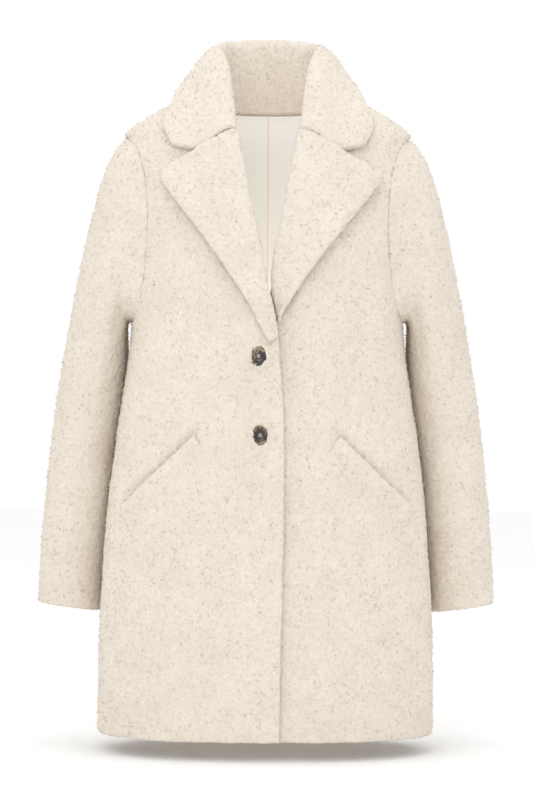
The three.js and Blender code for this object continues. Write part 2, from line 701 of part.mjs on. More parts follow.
function toGeometry(solid) {
  const mesh = solid.getMesh();
  const geometry = new THREE.BufferGeometry();
  const positions = [];
  for (const v of mesh.triVerts) {
    positions.push(...mesh.vertProperties.slice(v * mesh.numProp, v * mesh.numProp + 3));
  }
  geometry.setAttribute("position", new THREE.Float32BufferAttribute(positions, 3));
  geometry.computeVertexNormals();
  return geometry;
}

function button(place) {
  const profile = BUTTON_PROFILE.map((row) => new THREE.Vector2(row.radius, row.height));
  let solid = toManifold(facingOut(new THREE.LatheGeometry(profile, BUTTON_SIDES).toNonIndexed()));
  for (let i = 0; i < 4; i += 1) {
    const turn = Math.PI / 4 + (i * Math.PI) / 2;
    const hole = new THREE.CylinderGeometry(HOLE_RADIUS, HOLE_RADIUS, 10, 10).translate(
      HOLE_OFFSET * Math.cos(turn),
      2,
      HOLE_OFFSET * Math.sin(turn),
    );
    solid = solid.subtract(toManifold(hole));
  }
  const geometry = toGeometry(solid);
  const turn = turnAt(place.x, place.z, -1);
  const normal = bodyNormal(turn, place.z);
  const lie = new THREE.Quaternion().setFromUnitVectors(new THREE.Vector3(0, 1, 0), normal);
  geometry.applyQuaternion(lie);
  const seat = clothPoint(turn, place.z, LAID_GAP);
  return geometry.translate(seat.x, seat.y, seat.z);
}

const coat = new THREE.Group();
coat.name = "teddy_coat";

function add(name, geometry, colour, roughness) {
  const material = new THREE.MeshStandardMaterial({ color: colour, roughness });
  material.name = name + "_finish";
  const mesh = new THREE.Mesh(geometry, material);
  mesh.name = name;
  coat.add(mesh);
}

const FUR = 0xefe6d7;
const LINING = 0xe9e3d8;
const HORN = 0x8a6034;
const solidOf = (grids, wraps = false) => sheet(grids.outer, grids.inner, wraps);
const mirrored = (grids) => ({
  outer: grids.outer.map((row) => row.map(flipX)),
  inner: grids.inner.map((row) => row.map(flipX)),
});

add("front_right", solidOf(frontPanel(-1)), FUR, 0.95);
add("front_left", solidOf(frontPanel(1)), FUR, 0.95);
add("back", solidOf(backPanel()), FUR, 0.95);
const leftSleeve = sleeve();
add("sleeve_left", solidOf(leftSleeve, true), FUR, 0.95);
add("sleeve_right", solidOf(mirrored(leftSleeve), true), FUR, 0.95);
add("collar", solidOf(collar()), FUR, 0.95);
add("lapel_right", solidOf(lapel(OVER_LAPEL)), FUR, 0.95);
add("lapel_left", solidOf(lapel(UNDER_LAPEL)), FUR, 0.95);
add("pocket_welt_right", solidOf(pocketWelt(-1)), FUR, 0.95);
add("pocket_welt_left", solidOf(pocketWelt(1)), FUR, 0.95);
add("back_lining", solidOf(backLining()), LINING, 0.5);
Object.entries(BUTTONS).forEach(([name, place]) => add(name, button(place), HORN, 0.3));

export default coat;
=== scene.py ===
"""A cream teddy fur coat, hollow and filled out, dressed over its solids."""

import logging
import math
from dataclasses import dataclass, field
from enum import Enum

import bmesh
import bpy
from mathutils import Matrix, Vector

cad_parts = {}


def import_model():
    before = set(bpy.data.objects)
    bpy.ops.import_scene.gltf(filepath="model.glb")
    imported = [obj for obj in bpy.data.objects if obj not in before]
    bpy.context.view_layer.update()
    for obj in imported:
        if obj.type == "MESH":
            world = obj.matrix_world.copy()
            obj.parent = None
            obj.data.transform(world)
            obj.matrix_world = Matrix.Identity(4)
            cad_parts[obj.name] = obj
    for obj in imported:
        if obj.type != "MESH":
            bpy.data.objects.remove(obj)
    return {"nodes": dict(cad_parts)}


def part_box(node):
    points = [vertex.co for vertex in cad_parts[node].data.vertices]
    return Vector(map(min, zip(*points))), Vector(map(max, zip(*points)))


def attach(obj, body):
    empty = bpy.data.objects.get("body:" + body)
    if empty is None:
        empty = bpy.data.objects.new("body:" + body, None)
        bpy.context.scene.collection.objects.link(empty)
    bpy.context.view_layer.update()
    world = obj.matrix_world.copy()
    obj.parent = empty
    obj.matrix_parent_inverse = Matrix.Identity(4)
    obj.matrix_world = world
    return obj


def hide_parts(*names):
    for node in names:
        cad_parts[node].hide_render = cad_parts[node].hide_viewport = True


LOG = logging.getLogger("coat")
WELD = 0.00002
SHARP_EDGE = 48.0
QUAD_ANGLE = 50.0
FURRY_SHARE = -0.25
MOST_SPLITS = 7
FEW_EDGES = 50

Colour = tuple[float, float, float]
Nodes = dict[str, bpy.types.Object]


class Pile(Enum):
    """Which faces of a piece carry fur."""

    OUTSIDE = "outside"
    ALL_ROUND = "all round"


@dataclass(frozen=True)
class Core:
    """The hollow's middle line inside a piece, so that its outer faces can be told from its inner ones."""

    points: tuple[tuple[float, float, float], ...]

    def outward(self, place: Vector) -> Vector:
        """Direction from the middle line to a place.

        Args:
            place: a point on the piece, in metres.

        Returns:
            The unit direction away from the nearest point of the line.
        """
        best: Vector | None = None
        for start, end in zip(self.points, self.points[1:]):
            a, b = Vector(start), Vector(end)
            along = b - a
            share = max(0.0, min(1.0, (place - a).dot(along) / along.length_squared))
            away = place - (a + along * share)
            if best is None or away.length_squared < best.length_squared:
                best = away
        return best.normalized() if best is not None else Vector((0.0, 0.0, 1.0))


@dataclass(frozen=True)
class Fold:
    """A soft trough or ridge along a line, pressed into the cloth by so much."""

    start: tuple[float, float, float]
    end: tuple[float, float, float]
    half_width: float
    depth: float

    def push(self, place: Vector) -> float:
        """How far the fold moves one point out of the cloth.

        Args:
            place: a point on the cloth, in metres.

        Returns:
            The move along the cloth's normal, less than nothing in a trough.
        """
        a, b = Vector(self.start), Vector(self.end)
        along = b - a
        share = (place - a).dot(along) / along.length_squared
        held = max(0.0, min(1.0, share))
        away = (place - (a + along * held)).length
        taper = math.sin(math.pi * min(max(share, 0.0), 1.0)) ** 0.6 if 0.0 < share < 1.0 else 0.0
        return -self.depth * taper * math.exp(-((away / self.half_width) ** 2))

    def mirrored(self) -> "Fold":
        """The same fold on the other side of the coat."""
        (start_x, *start), (end_x, *end) = self.start, self.end
        return Fold((-start_x, *start), (-end_x, *end), self.half_width, self.depth)


@dataclass(frozen=True)
class Nudge:
    """A move of the cloth along a line seen from the front, fading away from it."""

    start: tuple[float, float]
    end: tuple[float, float]
    half_width: float
    move: tuple[float, float, float]

    def shift(self, place: Vector) -> Vector:
        """How the cloth moves at one point.

        Args:
            place: a point on the cloth, in metres.

        Returns:
            The move.
        """
        a, b = Vector(self.start), Vector(self.end)
        point = Vector((place.x, place.z))
        along = b - a
        share = max(0.0, min(1.0, (point - a).dot(along) / along.length_squared))
        away = (point - (a + along * share)).length
        return Vector(self.move) * math.exp(-((away / self.half_width) ** 2))

    def mirrored(self) -> "Nudge":
        """The same move on the other side of the coat."""
        return Nudge(
            (-self.start[0], self.start[1]),
            (-self.end[0], self.end[1]),
            self.half_width,
            (-self.move[0], self.move[1], self.move[2]),
        )


@dataclass(frozen=True)
class Crowd:
    """Pile that stands up round a button sewn through it and leans over its rim."""

    centre: tuple[float, float]
    radius: float = 0.0128
    half_width: float = 0.0034
    height: float = 0.0075
    lean: float = 0.3

    def shift(self, place: Vector, normal: Vector) -> Vector:
        """How the pile moves at one point.

        Args:
            place: a point on the cloth, in metres.
            normal: the cloth's outward direction there.

        Returns:
            The move, out of the cloth and over the button.
        """
        side, up = place.x - self.centre[0], place.z - self.centre[1]
        away = max(math.hypot(side, up), 1e-6)
        flank = abs(side) / away
        ring = math.exp(-(((away - self.radius) / self.half_width) ** 2))
        push = self.height * (0.55 + 0.45 * flank) * ring
        return normal * push - Vector((side, 0.0, up)) * (push * self.lean * flank / away)


class Graph:
    """A material's node tree, with short ways to add and join nodes."""

    def __init__(self, name: str) -> None:
        """Starts an empty material.

        Args:
            name: the material's name.
        """
        self.material = bpy.data.materials.new(name)
        self.material.use_nodes = True
        self.tree = self.material.node_tree
        self.shader = self.tree.nodes["Principled BSDF"]
        self.place = self.add("ShaderNodeTexCoord").outputs["Object"]

    def add(self, kind: str, **values: object) -> bpy.types.Node:
        """Adds a node and sets its properties or input values.

        Args:
            kind: Blender's name for the node.
            values: properties, or inputs with spaces written as underscores.

        Returns:
            The new node.
        """
        node = self.tree.nodes.new(kind)
        for key, value in values.items():
            if hasattr(node, key):
                setattr(node, key, value)
            else:
                node.inputs[key.replace("_", " ")].default_value = value
        return node

    def join(self, source: bpy.types.NodeSocket, target: bpy.types.NodeSocket) -> None:
        """Links one socket to another."""
        self.tree.links.new(source, target)

    def noise(self, scale: float, detail: float = 2.0, rough: float = 0.5) -> bpy.types.NodeSocket:
        """A noise value over the piece.

        Args:
            scale: how many times the noise repeats in a metre.
            detail: how many finer octaves it has.
            rough: how strong the finer octaves are.

        Returns:
            The noise's value socket.
        """
        node = self.add("ShaderNodeTexNoise", Scale=scale, Detail=detail, Roughness=rough)
        self.join(self.place, node.inputs["Vector"])
        return node.outputs["Fac"]

    def ramp(
        self, value: bpy.types.NodeSocket, low: Colour, high: Colour, start: float, end: float
    ) -> bpy.types.NodeSocket:
        """Two colours blended by a value.

        Args:
            value: the value that blends them.
            low: the colour at and below start.
            high: the colour at and above end.
            start: where the blend starts.
            end: where the blend ends.

        Returns:
            The colour socket.
        """
        node = self.add("ShaderNodeValToRGB")
        node.color_ramp.elements[0].position = start
        node.color_ramp.elements[1].position = end
        node.color_ramp.elements[0].color = (*low, 1.0)
        node.color_ramp.elements[1].color = (*high, 1.0)
        self.join(value, node.inputs["Fac"])
        return node.outputs["Color"]

    def mixed(
        self,
        share: bpy.types.NodeSocket | float,
        a: bpy.types.NodeSocket,
        b: bpy.types.NodeSocket,
        blend: str = "MIX",
    ) -> bpy.types.NodeSocket:
        """Two colours put together.

        Args:
            share: how much of the second colour shows.
            a: the first colour.
            b: the second colour.
            blend: Blender's blend type.

        Returns:
            The colour socket.
        """
        node = self.add("ShaderNodeMix", data_type="RGBA", blend_type=blend)
        if isinstance(share, float):
            node.inputs[0].default_value = share
        else:
            self.join(share, node.inputs[0])
        self.join(a, node.inputs[6])
        self.join(b, node.inputs[7])
        return node.outputs[2]

    def bump(
        self,
        height: bpy.types.NodeSocket,
        distance: float,
        strength: float,
        below: bpy.types.NodeSocket | None = None,
    ) -> bpy.types.NodeSocket:
        """Bumps the surface.

        Args:
            height: the height's value.
            distance: the height of a value of one, in metres.
            strength: how much of it shows.
            below: a coarser bump that this one lies on.

        Returns:
            The normal socket.
        """
        node = self.add("ShaderNodeBump", Distance=distance, Strength=strength)
        self.join(height, node.inputs["Height"])
        if below is not None:
            self.join(below, node.inputs["Normal"])
        return node.outputs["Normal"]


@dataclass(frozen=True)
class FurFinish:
    """Short curly pile: matt, warm white, with painted shade speckled between the curls."""

    name: str = "cream_curl"
    tip: Colour = (0.81, 0.745, 0.665)
    # The root colour is painted shade: the darkness of the shaded hollows down between the curls.
    root: Colour = (0.7, 0.63, 0.535)
    sheen: float = 0.2

    def build(self) -> bpy.types.Material:
        """Makes the fur's material.

        Returns:
            The material.
        """
        g = Graph(self.name)
        fine = g.noise(520.0, 3.0, 0.65)
        curls = g.noise(240.0, 2.0, 0.6)
        patches = g.noise(22.0, 3.0, 0.6)
        # Painted shade: fine noise speckles the darker root colour over the pile in place of the shade
        # between the curls.
        painted_shade_speck = g.ramp(fine, self.root, self.tip, 0.2, 0.56)
        # Painted shade: the curls noise also drives the coarse bump below, so this darkens the colour in
        # the bump's hollows between the curls.
        tone = g.ramp(curls, (0.93, 0.915, 0.89), (1.0, 1.0, 1.0), 0.32, 0.62)
        drift = g.ramp(patches, (0.95, 0.94, 0.925), (1.0, 1.0, 1.0), 0.35, 0.65)
        colour = g.mixed(1.0, g.mixed(1.0, painted_shade_speck, tone, "MULTIPLY"), drift, "MULTIPLY")
        g.join(colour, g.shader.inputs["Base Color"])
        coarse = g.bump(curls, 0.002, 0.4)
        g.join(g.bump(fine, 0.001, 0.4, coarse), g.shader.inputs["Normal"])
        g.shader.inputs["Roughness"].default_value = 0.95
        g.shader.inputs["Specular IOR Level"].default_value = 0.15
        g.shader.inputs["Sheen Weight"].default_value = self.sheen
        g.shader.inputs["Sheen Roughness"].default_value = 0.6
        g.shader.inputs["Sheen Tint"].default_value = (1.0, 0.95, 0.87, 1.0)
        return g.material


@dataclass(frozen=True)
class LiningFinish:
    """Off-white satin with a stitched centre seam."""

    name: str = "cream_satin"
    cloth: Colour = (0.87, 0.87, 0.85)
    stitch: Colour = (0.86, 0.6, 0.42)
    stitch_half: float = 0.0007

    def build(self) -> bpy.types.Material:
        """Makes the lining's material.

        Returns:
            The material.
        """
        g = Graph(self.name)
        parts = g.add("ShaderNodeSeparateXYZ")
        g.join(g.place, parts.inputs[0])
        away = g.add("ShaderNodeMath", operation="ABSOLUTE")
        g.join(parts.outputs["X"], away.inputs[0])
        line = g.add("ShaderNodeMath", operation="LESS_THAN")
        line.inputs[1].default_value = self.stitch_half
        g.join(away.outputs[0], line.inputs[0])
        weave = g.noise(900.0, 1.0)
        base = g.ramp(weave, tuple(0.95 * c for c in self.cloth), self.cloth, 0.3, 0.7)
        thread = g.add("ShaderNodeRGB")
        thread.outputs[0].default_value = (*self.stitch, 1.0)
        colour = g.mixed(line.outputs[0], base, thread.outputs[0])
        g.join(colour, g.shader.inputs["Base Color"])
        g.join(g.bump(weave, 0.0002, 0.3), g.shader.inputs["Normal"])
        g.shader.inputs["Roughness"].default_value = 0.5
        g.shader.inputs["Sheen Weight"].default_value = 0.3
        return g.material


@dataclass(frozen=True)
class HornFinish:
    """Polished mottled horn, dark round one spot and honey away from it."""

    name: str
    dark_spot: tuple[float, float]
    reach: float
    dark: Colour = (0.018, 0.012, 0.009)
    honey: Colour = (0.42, 0.32, 0.19)

    def build(self) -> bpy.types.Material:
        """Makes the button's material.

        Returns:
            The material.
        """
        g = Graph(self.name)
        turn = g.add("ShaderNodeMapping")
        turn.inputs["Location"].default_value = (-self.dark_spot[0], 0.0, -self.dark_spot[1])
        turn.inputs["Scale"].default_value = (1.0, 0.0, 1.0)
        g.join(g.place, turn.inputs["Vector"])
        away = g.add("ShaderNodeVectorMath", operation="LENGTH")
        g.join(turn.outputs[0], away.inputs[0])
        cloud = g.noise(260.0, 3.0, 0.6)
        strength = g.add("ShaderNodeMath", operation="MULTIPLY_ADD")
        strength.inputs[1].default_value = 0.4 / self.reach
        g.join(away.outputs["Value"], strength.inputs[0])
        g.join(cloud, strength.inputs[2])
        g.join(g.ramp(strength.outputs[0], self.dark, self.honey, 0.78, 1.0), g.shader.inputs["Base Color"])
        g.join(g.bump(cloud, 0.0001, 0.2), g.shader.inputs["Normal"])
        g.shader.inputs["Roughness"].default_value = 0.25
        g.shader.inputs["Coat Weight"].default_value = 0.4
        g.shader.inputs["Coat Roughness"].default_value = 0.15
        return g.material


@dataclass(frozen=True)
class ThreadFinish:
    """Cream sewing thread, twisted."""

    name: str = "cream_thread"
    colour: Colour = (0.7, 0.64, 0.54)

    def build(self) -> bpy.types.Material:
        """Makes the thread's material.

        Returns:
            The material.
        """
        g = Graph(self.name)
        twist = g.noise(2500.0, 1.0)
        shade = tuple(0.7 * c for c in self.colour)
        g.join(g.ramp(twist, shade, self.colour, 0.3, 0.6), g.shader.inputs["Base Color"])
        g.join(g.bump(twist, 0.0002, 0.5), g.shader.inputs["Normal"])
        g.shader.inputs["Roughness"].default_value = 0.8
        return g.material


def only(piece: bpy.types.Object) -> None:
    """Selects one object and makes it active."""
    if bpy.context.object and bpy.context.object.mode != "OBJECT":
        bpy.ops.object.mode_set(mode="OBJECT")
    bpy.ops.object.select_all(action="DESELECT")
    piece.select_set(True)
    bpy.context.view_layer.objects.active = piece


def triangles(piece: bpy.types.Object) -> int:
    """How many triangles a mesh comes to."""
    return sum(len(face.vertices) - 2 for face in piece.data.polygons)


def applied(piece: bpy.types.Object, kind: str, **values: object) -> None:
    """Adds a modifier and applies it at once.

    Args:
        piece: the object.
        kind: Blender's name for the modifier.
        values: the modifier's properties.
    """
    only(piece)
    modifier = piece.modifiers.new(kind.lower(), kind)
    for key, value in values.items():
        setattr(modifier, key, value)
    bpy.ops.object.modifier_apply(modifier=modifier.name)


def copied(nodes: Nodes, node: str, name: str, rim_crease: float = 0.0) -> bpy.types.Object:
    """Copies a solid's mesh into a new object, welded and in quads.

    Args:
        nodes: the frame's solids by name.
        node: the solid's name.
        name: the new piece's name.
        rim_crease: how sharp its cut edges stay when it is smoothed.

    Returns:
        The new object, at the origin.
    """
    source = nodes[node]
    mesh = source.data.copy()
    mesh.materials.clear()
    piece = bpy.data.objects.new(name, mesh)
    bpy.context.scene.collection.objects.link(piece)
    mesh.transform(source.matrix_world)
    only(piece)
    angle = math.radians(QUAD_ANGLE)
    bpy.ops.object.mode_set(mode="EDIT")
    bpy.ops.mesh.select_all(action="SELECT")
    bpy.ops.mesh.remove_doubles(threshold=WELD)
    bpy.ops.mesh.tris_convert_to_quads(face_threshold=angle, shape_threshold=angle)
    bpy.ops.mesh.normals_make_consistent(inside=False)
    if rim_crease > 0.0:
        bpy.ops.mesh.select_mode(type="EDGE")
        bpy.ops.mesh.select_all(action="DESELECT")
        bpy.ops.mesh.edges_select_sharp(sharpness=math.radians(SHARP_EDGE))
        bpy.ops.transform.edge_crease(value=rim_crease)
    bpy.ops.object.mode_set(mode="OBJECT")
    return piece


@dataclass
class Fuzz:
    """Loose curled locks that stand out of the pile, and fray its outline."""

    density: float = 20000.0
    length: float = 0.0032
    radius: float = 0.0009
    curl: float = 0.0013
    lean: float = 0.9
    smallest: float = 0.5
    largest: float = 1.1
    lock: bpy.types.Object | None = field(default=None, init=False)
    graph: bpy.types.NodeTree | None = field(default=None, init=False)

    def model_lock(self) -> None:
        """Models one lock: a thin three-sided tuft, bent over at its tip."""
        bpy.ops.object.select_all(action="DESELECT")
        bpy.ops.mesh.primitive_cone_add(
            vertices=3,
            radius1=self.radius,
            radius2=self.radius * 0.45,
            depth=self.length,
            end_fill_type="NOTHING",
            location=(0.0, 0.0, self.length * 0.08),
        )
        self.lock = bpy.context.object
        self.lock.name = "lock"
        bpy.ops.object.transform_apply(location=True, rotation=True, scale=True)
        bpy.ops.object.mode_set(mode="EDIT")
        bpy.ops.mesh.select_mode(type="VERT")
        bpy.ops.mesh.select_all(action="DESELECT")
        grid = bmesh.from_edit_mesh(self.lock.data)
        for vertex in grid.verts:
            vertex.select_set(vertex.co.z > 0.0 and vertex.co.z > self.length * 0.3)
        bmesh.update_edit_mesh(self.lock.data)
        bpy.ops.transform.translate(value=(self.curl, 0.0, 0.0))
        bpy.ops.object.mode_set(mode="OBJECT")

    def build_graph(self) -> None:
        """Builds the nodes that strew the locks over a piece's pile."""
        self.graph = bpy.data.node_groups.new("fuzz", "GeometryNodeTree")
        self.graph.interface.new_socket("Geometry", in_out="INPUT", socket_type="NodeSocketGeometry")
        self.graph.interface.new_socket("Geometry", in_out="OUTPUT", socket_type="NodeSocketGeometry")
        nodes, links = self.graph.nodes, self.graph.links
        start, end = nodes.new("NodeGroupInput"), nodes.new("NodeGroupOutput")
        share = nodes.new("GeometryNodeInputNamedAttribute")
        share.inputs["Name"].default_value = "pile"
        crowd = nodes.new("ShaderNodeMath")
        crowd.operation = "MULTIPLY"
        crowd.inputs[1].default_value = self.density
        points = nodes.new("GeometryNodeDistributePointsOnFaces")
        lean = nodes.new("FunctionNodeRandomValue")
        lean.data_type = "FLOAT_VECTOR"
        lean.inputs["Min"].default_value = (-self.lean, -self.lean, 0.0)
        lean.inputs["Max"].default_value = (self.lean, self.lean, 2.0 * math.pi)
        turned = nodes.new("FunctionNodeRotateRotation")
        turned.rotation_space = "LOCAL"
        size = nodes.new("FunctionNodeRandomValue")
        size.inputs[2].default_value = self.smallest
        size.inputs[3].default_value = self.largest
        size.inputs["Seed"].default_value = 7
        source = nodes.new("GeometryNodeObjectInfo")
        source.inputs["Object"].default_value = self.lock
        strewn = nodes.new("GeometryNodeInstanceOnPoints")
        solid = nodes.new("GeometryNodeRealizeInstances")
        links.new(share.outputs[0], crowd.inputs[0])
        links.new(start.outputs[0], points.inputs["Mesh"])
        links.new(crowd.outputs[0], points.inputs["Density"])
        links.new(points.outputs["Points"], strewn.inputs["Points"])
        links.new(source.outputs["Geometry"], strewn.inputs["Instance"])
        links.new(points.outputs["Rotation"], turned.inputs[0])
        links.new(lean.outputs["Value"], turned.inputs[1])
        links.new(turned.outputs[0], strewn.inputs["Rotation"])
        links.new(size.outputs[1], strewn.inputs["Scale"])
        links.new(strewn.outputs[0], solid.inputs[0])
        links.new(solid.outputs[0], end.inputs[0])

    def grow(self, piece: bpy.types.Object, finish: bpy.types.Material) -> bpy.types.Object:
        """Grows the locks on a piece's pile.

        Args:
            piece: the cloth, with its share of pile in the group "pile".
            finish: the fur's material.

        Returns:
            The locks, as one mesh.
        """
        if self.graph is None:
            self.model_lock()
            self.build_graph()
        locks = piece.copy()
        locks.data = piece.data.copy()
        locks.name = piece.name.replace("_fur", "_locks")
        bpy.context.scene.collection.objects.link(locks)
        applied(locks, "NODES", node_group=self.graph)
        locks.data.materials.clear()
        locks.data.materials.append(finish)
        only(locks)
        bpy.ops.object.shade_smooth()
        return locks

    def clear(self) -> None:
        """Puts the single lock away once every piece has its own."""
        if self.lock is not None:
            bpy.data.objects.remove(self.lock)
            self.lock = None


@dataclass
class FurCloth:
    """One cut piece of pile fabric: its solid, folds, pile and flat cut."""

    node: str
    flat: tuple[float, float]
    area: float
    core: Core
    pile: Pile = Pile.OUTSIDE
    folds: tuple[Fold, ...] = ()
    crowds: tuple[Crowd, ...] = ()
    nudges: tuple[Nudge, ...] = ()
    grain: float = 0.0033
    curl: float = 0.0019
    stand: float = 0.0006
    rim_crease: float = 1.0
    rests_on: tuple[str, ...] = ()
    smooth_levels: int = 2
    held: str = "draped"

    def outside(self, place: Vector, normal: Vector) -> float:
        """How far a place belongs to the furry outside, from -1 to 1.

        Args:
            place: a point on the piece, in metres.
            normal: its outward direction.

        Returns:
            One on the outside, minus one on the inside.
        """
        if self.pile is Pile.ALL_ROUND:
            return 1.0
        return normal.dot(self.core.outward(place))

    def press_folds(self, piece: bpy.types.Object) -> None:
        """Presses the folds into the smooth cloth, both walls together.

        Args:
            piece: the cloth, before its pile.
        """
        for vertex in piece.data.vertices:
            way = self.core.outward(vertex.co)
            push = sum(fold.push(vertex.co) for fold in self.folds)
            vertex.co += way * push + sum((nudge.shift(vertex.co) for nudge in self.nudges), Vector())

    def refine(self, piece: bpy.types.Object) -> None:
        """Splits the outside's long edges until curls can be raised on it.

        Args:
            piece: the cloth.
        """
        only(piece)
        bpy.ops.object.mode_set(mode="EDIT")
        bpy.ops.mesh.select_mode(type="EDGE")
        for _ in range(MOST_SPLITS):
            bpy.ops.mesh.select_all(action="DESELECT")
            grid = bmesh.from_edit_mesh(piece.data)
            furry = {
                f.index
                for f in grid.faces
                if self.outside(f.calc_center_median(), f.normal) > FURRY_SHARE
            }
            chosen = 0
            for edge in grid.edges:
                if edge.calc_length() > self.grain and any(f.index in furry for f in edge.link_faces):
                    edge.select_set(True)
                    chosen += 1
            bmesh.update_edit_mesh(piece.data)
            if chosen < FEW_EDGES:
                break
            bpy.ops.mesh.subdivide(number_cuts=1)
        bpy.ops.object.mode_set(mode="OBJECT")

    def crowd_pile(self, piece: bpy.types.Object) -> None:
        """Stands the pile up round the buttons.

        Args:
            piece: the finely split cloth.
        """
        moves: list[tuple[int, Vector]] = []
        for vertex in piece.data.vertices if self.crowds else ():
            if vertex.normal.y < -0.5:
                move = sum((crowd.shift(vertex.co, vertex.normal) for crowd in self.crowds), Vector())
                if move.length > 1e-5:
                    moves.append((vertex.index, move))
        for index, move in moves:
            piece.data.vertices[index].co += move

    def raise_pile(self, piece: bpy.types.Object) -> None:
        """Raises the curls out of the cloth's outside.

        Args:
            piece: the finely split cloth.
        """
        group = piece.vertex_groups.new(name="pile")
        shares = [self.outside(vertex.co, vertex.normal) for vertex in piece.data.vertices]
        for index, share in enumerate(shares):
            weight = max(0.0, min(1.0, (share + 0.3) / 0.5))
            if weight > 0.0:
                group.add([index], weight, "REPLACE")
        self.crowd_pile(piece)
        applied(piece, "DISPLACE", strength=self.stand, mid_level=0.0, vertex_group="pile")
        for name, kind, size, height, middle in (
            ("uneven", "CLOUDS", 0.045, 0.002, 0.5),
            ("curls", "VORONOI", 0.0062, -self.curl, 0.42),
            ("tufts", "CLOUDS", 0.0034, self.curl * 0.8, 0.5),
        ):
            texture = bpy.data.textures.new(f"{self.node}_{name}", kind)
            texture.noise_scale = size
            applied(
                piece,
                "DISPLACE",
                texture=texture,
                strength=height,
                mid_level=middle,
                vertex_group="pile",
                texture_coords="LOCAL",
            )

    def dress(self, nodes: Nodes, finish: bpy.types.Material, fuzz: Fuzz) -> bpy.types.Object:
        """Builds the piece and puts it in its solid's place.

        Args:
            nodes: the frame's solids by name.
            finish: the fur's material.
            fuzz: the loose locks that stand out of the pile.

        Returns:
            The finished piece.
        """
        piece = copied(nodes, self.node, f"{self.node}_fur", self.rim_crease)
        applied(piece, "SUBSURF", levels=self.smooth_levels, render_levels=self.smooth_levels)
        self.press_folds(piece)
        self.refine(piece)
        self.raise_pile(piece)
        only(piece)
        bpy.ops.object.shade_smooth()
        piece.data.materials.append(finish)
        locks = fuzz.grow(piece, finish)
        piece.vertex_groups.clear()
        for part in (piece, locks):
            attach(part, "root")
        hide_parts(self.node)
        LOG.info("%s: %d triangles, %d in its locks", piece.name, triangles(piece), triangles(locks))
        return piece


@dataclass
class Lining:
    """The back lining, with soft upright folds beside its centre seam."""

    folds: tuple[Fold, ...]
    flat: tuple[float, float] = (0.62, 0.76)
    area: float = 0.33

    def dress(self, nodes: Nodes, finish: bpy.types.Material) -> bpy.types.Object:
        """Builds the lining in its solid's place.

        Args:
            nodes: the frame's solids by name.
            finish: the satin's material.

        Returns:
            The finished piece.
        """
        piece = copied(nodes, "back_lining", "back_lining_satin")
        applied(piece, "SUBSURF", levels=2, render_levels=2)
        inward = Vector((0.0, -1.0, 0.0))
        for vertex in piece.data.vertices:
            vertex.co += inward * sum(fold.push(vertex.co) for fold in self.folds)
        only(piece)
        bpy.ops.object.shade_smooth()
        piece.data.materials.append(finish)
        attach(piece, "root")
        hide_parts("back_lining")
        LOG.info("back lining: %d faces", len(piece.data.polygons))
        return piece


@dataclass
class Button:
    """A four-hole coat button with its thread cross."""

    node: str
    finish: HornFinish
    thread_radius: float = 0.0003
    hole_offset: float = 0.0021
    thread_depth: float = 0.0016
    thread_turns: tuple[float, float] = (45.0, 135.0)
    rim_bevel: float = 0.0003

    def dress(self, nodes: Nodes, thread: bpy.types.Material) -> None:
        """Dresses the disc and sews it on.

        Args:
            nodes: the frame's solids by name.
            thread: the thread's material.
        """
        disc = copied(nodes, self.node, f"{self.node}_disc")
        corner = math.radians(QUAD_ANGLE)
        applied(
            disc, "BEVEL", width=self.rim_bevel, segments=2, limit_method="ANGLE", angle_limit=corner
        )
        only(disc)
        bpy.ops.object.shade_smooth_by_angle(angle=corner)
        disc.data.materials.append(self.finish.build())
        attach(disc, "root")
        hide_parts(self.node)
        low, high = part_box(self.node)
        centre = (Vector(low) + Vector(high)) / 2
        middle = Vector((centre.x, low[1] + self.thread_depth, centre.z))
        strands = [self.strand(middle, turn) for turn in self.thread_turns]
        only(strands[0])
        strands[1].select_set(True)
        bpy.ops.object.join()
        cross = bpy.context.object
        cross.name = f"{self.node}_thread"
        cross.data.materials.append(thread)
        bpy.ops.object.shade_smooth()
        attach(cross, "root")
        LOG.info("%s dressed and sewn", self.node)

    def strand(self, middle: Vector, turn: float) -> bpy.types.Object:
        """One side of the thread cross: a flat bundle from hole to hole.

        Args:
            middle: where the strands cross.
            turn: the bundle's lie, in degrees.

        Returns:
            The bundle's object.
        """
        bpy.ops.object.select_all(action="DESELECT")
        bpy.ops.mesh.primitive_cylinder_add(
            vertices=12, radius=self.thread_radius, depth=self.hole_offset * 2.5, location=(0, 0, 0)
        )
        bundle = bpy.context.object
        bpy.ops.object.mode_set(mode="EDIT")
        bpy.ops.mesh.select_all(action="SELECT")
        bpy.ops.transform.resize(value=(2.6, 1.0, 1.0))
        bpy.ops.mesh.bevel(offset=0.0003, segments=2)
        bpy.ops.mesh.select_all(action="SELECT")
        bpy.ops.transform.rotate(
            value=math.radians(turn), orient_axis="Y", center_override=(0.0, 0.0, 0.0)
        )
        bpy.ops.transform.translate(value=middle)
        bpy.ops.object.mode_set(mode="OBJECT")
        return bundle


